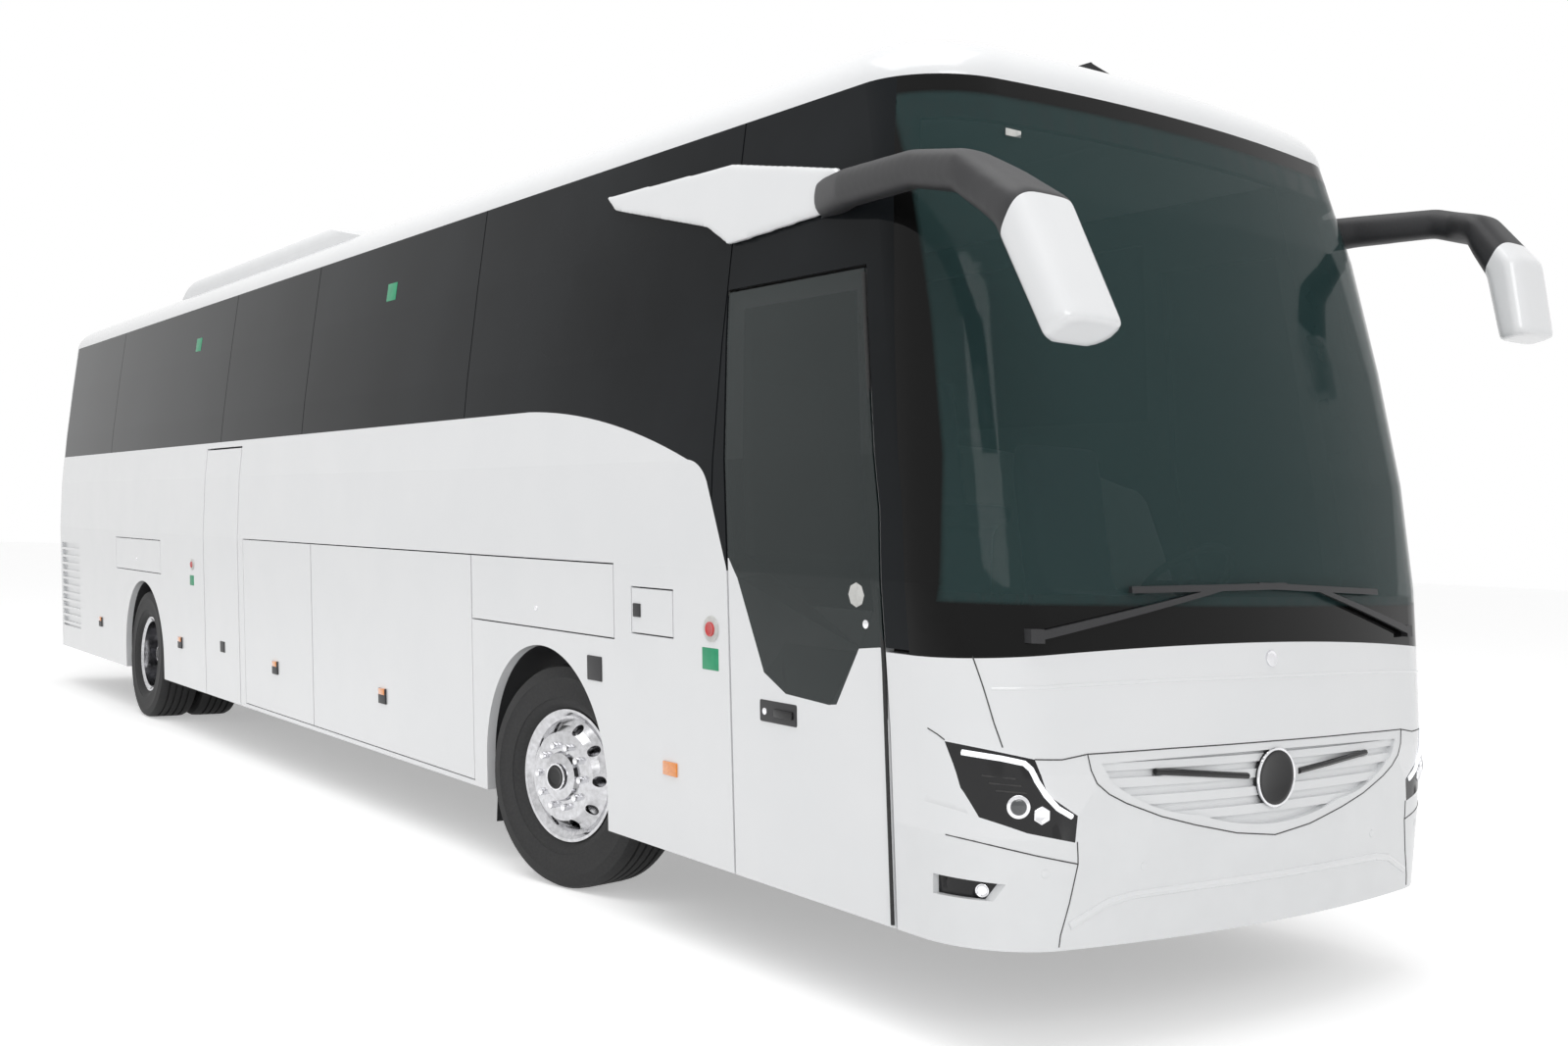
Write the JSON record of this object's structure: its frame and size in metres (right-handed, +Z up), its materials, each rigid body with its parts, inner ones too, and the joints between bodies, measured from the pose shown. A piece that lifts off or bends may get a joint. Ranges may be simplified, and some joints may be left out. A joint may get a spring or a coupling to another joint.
{
  "type": "coach bus",
  "caption": "Two-axle touring coach with raised deck, dark window band, outward-swinging doors, luggage flaps, horn mirrors and steered front wheels",
  "frame": {"origin": "on the ground under the middle of the coach's bounding box, mirrors included", "axes": "+X is the coach's left, +Y points to its rear, +Z up; it drives towards -Y"},
  "size_m": [3.04, 13.6662, 3.6404],
  "materials": {
    "white_paint": "white gloss paint",
    "dark_glass": "black tinted glass",
    "clear_glass": "lightly tinted glass",
    "black_matte": "black moulded plastic",
    "steel_frame": "black painted steel",
    "tyre": "black rubber",
    "alloy": "polished aluminium",
    "cast": "painted casting",
    "seat_fabric": "dark grey fabric",
    "floor": "floor covering",
    "lamp_front": "black lamp housing under clear lens",
    "lamp_red": "red lens",
    "lamp_amber": "amber lens",
    "white_plastic": "white gloss plastic"
  },
  "bodies": {
    "body": {"underframe": "steel_frame", "cabin_floor": "floor", "entrance_steps": "floor", "body_side_right": "white_paint", "body_side_left": "white_paint", "window_frames": "steel_frame", "side_glass": "dark_glass", "windshield": "clear_glass", "front_frame": "black_matte", "front_panel": "white_plastic", "grille": "white_plastic", "front_bumper": "white_plastic", "bumper_corners": "white_plastic", "front_corners": "white_plastic", "front_lamps": "lamp_front", "rear_panel": "white_paint", "rear_window": "dark_glass", "rear_bumper": "black_matte", "tail_lamps": "lamp_red", "louvres": "white_paint", "roof": "white_paint", "roof_front_cap": "white_plastic", "climate_unit": "white_plastic", "wheel_arches": "black_matte", "mirror_right": "black_matte", "mirror_left": "black_matte", "mirror_fairing": "white_plastic", "wipers": "black_matte", "marker_lamps": "lamp_amber", "seats": "seat_fabric", "dashboard": "black_matte", "engine_block": "cast", "front_axle": "cast", "rear_axle": "cast"},
    "front_door_arm": {"front_door_arm": "steel_frame"},
    "front_door": {"front_door": "white_paint", "front_door_glass": "dark_glass"},
    "mid_door_arm": {"mid_door_arm": "steel_frame"},
    "mid_door": {"mid_door": "white_paint"},
    "luggage_flap_right_front": {"luggage_flap_right_front": "white_paint"},
    "luggage_flap_right_rear": {"luggage_flap_right_rear": "white_paint"},
    "luggage_flap_left_front": {"luggage_flap_left_front": "white_paint"},
    "luggage_flap_left_rear": {"luggage_flap_left_rear": "white_paint"},
    "service_flap_front": {"service_flap_front": "white_paint"},
    "service_flap_rear": {"service_flap_rear": "white_paint"},
    "fuel_flap": {"fuel_flap": "white_paint"},
    "engine_hatch": {"engine_hatch": "white_paint"},
    "knuckle_right": {"knuckle_right": "cast"},
    "knuckle_left": {"knuckle_left": "cast"},
    "front_wheel_right": {"front_rim_right": "alloy", "front_tyre_right": "tyre"},
    "front_wheel_left": {"front_rim_left": "alloy", "front_tyre_left": "tyre"},
    "rear_wheels_right": {"rear_rim_right": "alloy", "rear_tyres_right": "tyre"},
    "rear_wheels_left": {"rear_rim_left": "alloy", "rear_tyres_left": "tyre"},
    "steering_wheel": {"steering_wheel": "black_matte"}
  },
  "joints": [
    {"name": "front_door_swing", "type": "hinge", "parent": "body", "child": "front_door_arm", "pos_m": [-1.11, -5.69693, 0.76], "axis": [0, 0, 1], "range_deg": [0, 95]},
    {"name": "front_door_follow", "type": "hinge", "parent": "front_door_arm", "child": "front_door", "pos_m": [-1.11, -5.09693, 0.76], "axis": [0, 0, 1], "range_deg": [-95, 0]},
    {"name": "mid_door_swing", "type": "hinge", "parent": "body", "child": "mid_door_arm", "pos_m": [-1.11, 1.75307, 0.76], "axis": [0, 0, -1], "range_deg": [0, 95]},
    {"name": "mid_door_follow", "type": "hinge", "parent": "mid_door_arm", "child": "mid_door", "pos_m": [-1.11, 1.23307, 0.76], "axis": [0, 0, -1], "range_deg": [-95, 0]},
    {"name": "luggage_flap_right_front_lift", "type": "hinge", "parent": "body", "child": "luggage_flap_right_front", "pos_m": [-1.275, -1.52193, 1.48], "axis": [0, 1, 0], "range_deg": [0, 85]},
    {"name": "luggage_flap_right_rear_lift", "type": "hinge", "parent": "body", "child": "luggage_flap_right_rear", "pos_m": [-1.275, 0.27307, 1.48], "axis": [0, 1, 0], "range_deg": [0, 85]},
    {"name": "luggage_flap_left_front_lift", "type": "hinge", "parent": "body", "child": "luggage_flap_left_front", "pos_m": [1.275, -1.52193, 1.48], "axis": [0, -1, 0], "range_deg": [0, 85]},
    {"name": "luggage_flap_left_rear_lift", "type": "hinge", "parent": "body", "child": "luggage_flap_left_rear", "pos_m": [1.275, 0.73807, 1.48], "axis": [0, -1, 0], "range_deg": [0, 85]},
    {"name": "service_flap_front_lift", "type": "hinge", "parent": "body", "child": "service_flap_front", "pos_m": [-1.275, -3.35193, 1.48], "axis": [0, 1, 0], "range_deg": [0, 80]},
    {"name": "service_flap_rear_lift", "type": "hinge", "parent": "body", "child": "service_flap_rear", "pos_m": [-1.27164, 3.70307, 1.427], "axis": [0, 1, 0], "range_deg": [0, 80]},
    {"name": "fuel_flap_swing", "type": "hinge", "parent": "body", "child": "fuel_flap", "pos_m": [-1.26958, -4.50893, 1.297], "axis": [0, 0, 1], "range_deg": [0, 110]},
    {"name": "engine_hatch_lift", "type": "hinge", "parent": "body", "child": "engine_hatch", "pos_m": [0, 6.83037, 1.747], "axis": [1, 0, 0], "range_deg": [0, 80]},
    {"name": "steer_right", "type": "hinge", "parent": "body", "child": "knuckle_right", "pos_m": [-0.9, -3.39693, 0.505], "axis": [0, 0, 1], "range_deg": [-57.8, 32.2]},
    {"name": "steer_left", "type": "hinge", "parent": "body", "child": "knuckle_left", "pos_m": [0.9, -3.39693, 0.505], "axis": [0, 0, 1], "range_deg": [-57.8, 32.2]},
    {"name": "steering_wheel_turn", "type": "hinge", "parent": "body", "child": "steering_wheel", "pos_m": [0.61, -5.47693, 1.47], "axis": [0, 0.7071, 0.7071], "range_deg": [-924.8, 515.2]},
    {"name": "front_wheel_right_spin", "type": "hinge", "parent": "knuckle_right", "child": "front_wheel_right", "pos_m": [-1.01799, -3.42374, 0.505], "axis": [0.9751, 0.2215, 0], "continuous": true},
    {"name": "front_wheel_left_spin", "type": "hinge", "parent": "knuckle_left", "child": "front_wheel_left", "pos_m": [1.01799, -3.37012, 0.505], "axis": [0.9751, 0.2215, 0], "continuous": true},
    {"name": "rear_wheels_right_spin", "type": "hinge", "parent": "body", "child": "rear_wheels_right", "pos_m": [-0.9, 3.51307, 0.505], "axis": [1, 0, 0], "continuous": true},
    {"name": "rear_wheels_left_spin", "type": "hinge", "parent": "body", "child": "rear_wheels_left", "pos_m": [0.9, 3.51307, 0.505], "axis": [1, 0, 0], "continuous": true}
  ],
  "couplings": [
    {"joint": "front_door_follow", "follows": "front_door_swing", "ratio": -1},
    {"joint": "mid_door_follow", "follows": "mid_door_swing", "ratio": -1},
    {"joint": "steer_left", "follows": "steer_right", "ratio": 1},
    {"joint": "steering_wheel_turn", "follows": "steer_right", "ratio": 16}
  ]
}
